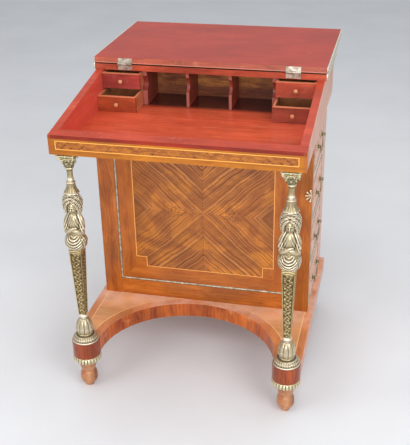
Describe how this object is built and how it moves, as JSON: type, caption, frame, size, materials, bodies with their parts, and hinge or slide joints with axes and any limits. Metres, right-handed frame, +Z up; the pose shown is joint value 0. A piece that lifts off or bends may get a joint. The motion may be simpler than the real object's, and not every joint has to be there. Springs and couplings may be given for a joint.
{
  "type": "davenport desk",
  "caption": "Small sloped writing desk with a lift-over lid, pigeonholes and small drawers, a case of side drawers and bronze figure columns on an arched platform.",
  "frame": {"origin": "middle of the bounding box at floor level, lid folded back", "axes": "X to the right as the writer sits, Y from the writer to the back, Z up"},
  "size_m": [0.615, 0.7475, 0.8074],
  "materials": {
    "satinwood": "polished",
    "mahogany": "polished",
    "lining": "satin",
    "lid_veneer": "polished",
    "pale_knob": "polished",
    "brass": "polished",
    "bronze": "satin"
  },
  "bodies": {
    "desk": {"platform": "satinwood", "drums": "mahogany", "foot_front_left": "satinwood", "foot_front_right": "satinwood", "foot_rear_left": "satinwood", "foot_rear_right": "satinwood", "rear_pads": "mahogany", "foot_rings": "bronze", "column_base_left": "bronze", "column_shaft_left": "bronze", "column_figure_left": "bronze", "column_capital_left": "bronze", "column_base_right": "bronze", "column_shaft_right": "bronze", "column_figure_right": "bronze", "column_capital_right": "bronze", "front_panel": "mahogany", "front_bead": "brass", "stile_mount": "brass", "left_side": "mahogany", "left_bead": "brass", "case_back": "mahogany", "rear_stile": "mahogany", "drawer_guide": "lining", "dust_boards": "mahogany", "box_side_left": "satinwood", "box_side_right": "satinwood", "front_rail": "satinwood", "well_bottom": "lining", "box_back": "mahogany", "top_board": "satinwood", "top_edging": "brass", "nest_dividers": "lining", "nest_shelves": "lining", "nest_back": "lining", "hinge_leaves_fixed": "brass"},
    "lid": {"lid_panel": "lid_veneer", "lid_edging": "brass", "hinge_leaves_lid": "brass", "hinge_pins": "brass"},
    "small_drawer_upper_left": {"nest_drawer_upper_left": "lining", "nest_knob_upper_left": "pale_knob"},
    "small_drawer_upper_right": {"nest_drawer_upper_right": "lining", "nest_knob_upper_right": "pale_knob"},
    "small_drawer_lower_left": {"nest_drawer_lower_left": "lining", "nest_knob_lower_left": "pale_knob"},
    "small_drawer_lower_right": {"nest_drawer_lower_right": "lining", "nest_knob_lower_right": "pale_knob"},
    "side_drawer_body_1": {"side_drawer_1": "mahogany", "side_plates_1": "brass"},
    "bail_1": {"side_bail_1": "brass"},
    "side_drawer_body_2": {"side_drawer_2": "mahogany", "side_plates_2": "brass"},
    "bail_2": {"side_bail_2": "brass"},
    "side_drawer_body_3": {"side_drawer_3": "mahogany", "side_plates_3": "brass"},
    "bail_3": {"side_bail_3": "brass"},
    "side_drawer_body_4": {"side_drawer_4": "mahogany", "side_plates_4": "brass"},
    "bail_4": {"side_bail_4": "brass"}
  },
  "joints": [
    {"name": "lid_hinge", "type": "hinge", "parent": "desk", "child": "lid", "pos_m": [0, -0.01435, 0.7911], "axis": [-1, 0, 0], "range_deg": [-188.45, 0]},
    {"name": "upper_left_slide", "type": "slide", "parent": "desk", "child": "small_drawer_upper_left", "axis": [0, -1, 0], "range_m": [-0.024, 0.036]},
    {"name": "upper_right_slide", "type": "slide", "parent": "desk", "child": "small_drawer_upper_right", "axis": [0, -1, 0], "range_m": [-0.024, 0.036]},
    {"name": "lower_left_slide", "type": "slide", "parent": "desk", "child": "small_drawer_lower_left", "axis": [0, -1, 0], "range_m": [-0.07, 0.01]},
    {"name": "lower_right_slide", "type": "slide", "parent": "desk", "child": "small_drawer_lower_right", "axis": [0, -1, 0], "range_m": [-0.076, 0.004]},
    {"name": "side_drawer_1_slide", "type": "slide", "parent": "desk", "child": "side_drawer_body_1", "axis": [1, 0, 0], "range_m": [0, 0.38]},
    {"name": "bail_1_hinge", "type": "hinge", "parent": "side_drawer_body_1", "child": "bail_1", "pos_m": [0.296, 0.02425, 0.21231], "axis": [0, -1, 0], "range_deg": [0, 90]},
    {"name": "side_drawer_2_slide", "type": "slide", "parent": "desk", "child": "side_drawer_body_2", "axis": [1, 0, 0], "range_m": [0, 0.38]},
    {"name": "bail_2_hinge", "type": "hinge", "parent": "side_drawer_body_2", "child": "bail_2", "pos_m": [0.296, 0.02425, 0.34194], "axis": [0, -1, 0], "range_deg": [0, 90]},
    {"name": "side_drawer_3_slide", "type": "slide", "parent": "desk", "child": "side_drawer_body_3", "axis": [1, 0, 0], "range_m": [0, 0.38]},
    {"name": "bail_3_hinge", "type": "hinge", "parent": "side_drawer_body_3", "child": "bail_3", "pos_m": [0.296, 0.02425, 0.47156], "axis": [0, -1, 0], "range_deg": [0, 90]},
    {"name": "side_drawer_4_slide", "type": "slide", "parent": "desk", "child": "side_drawer_body_4", "axis": [1, 0, 0], "range_m": [0, 0.38]},
    {"name": "bail_4_hinge", "type": "hinge", "parent": "side_drawer_body_4", "child": "bail_4", "pos_m": [0.296, 0.02425, 0.60119], "axis": [0, -1, 0], "range_deg": [0, 90]}
  ]
}
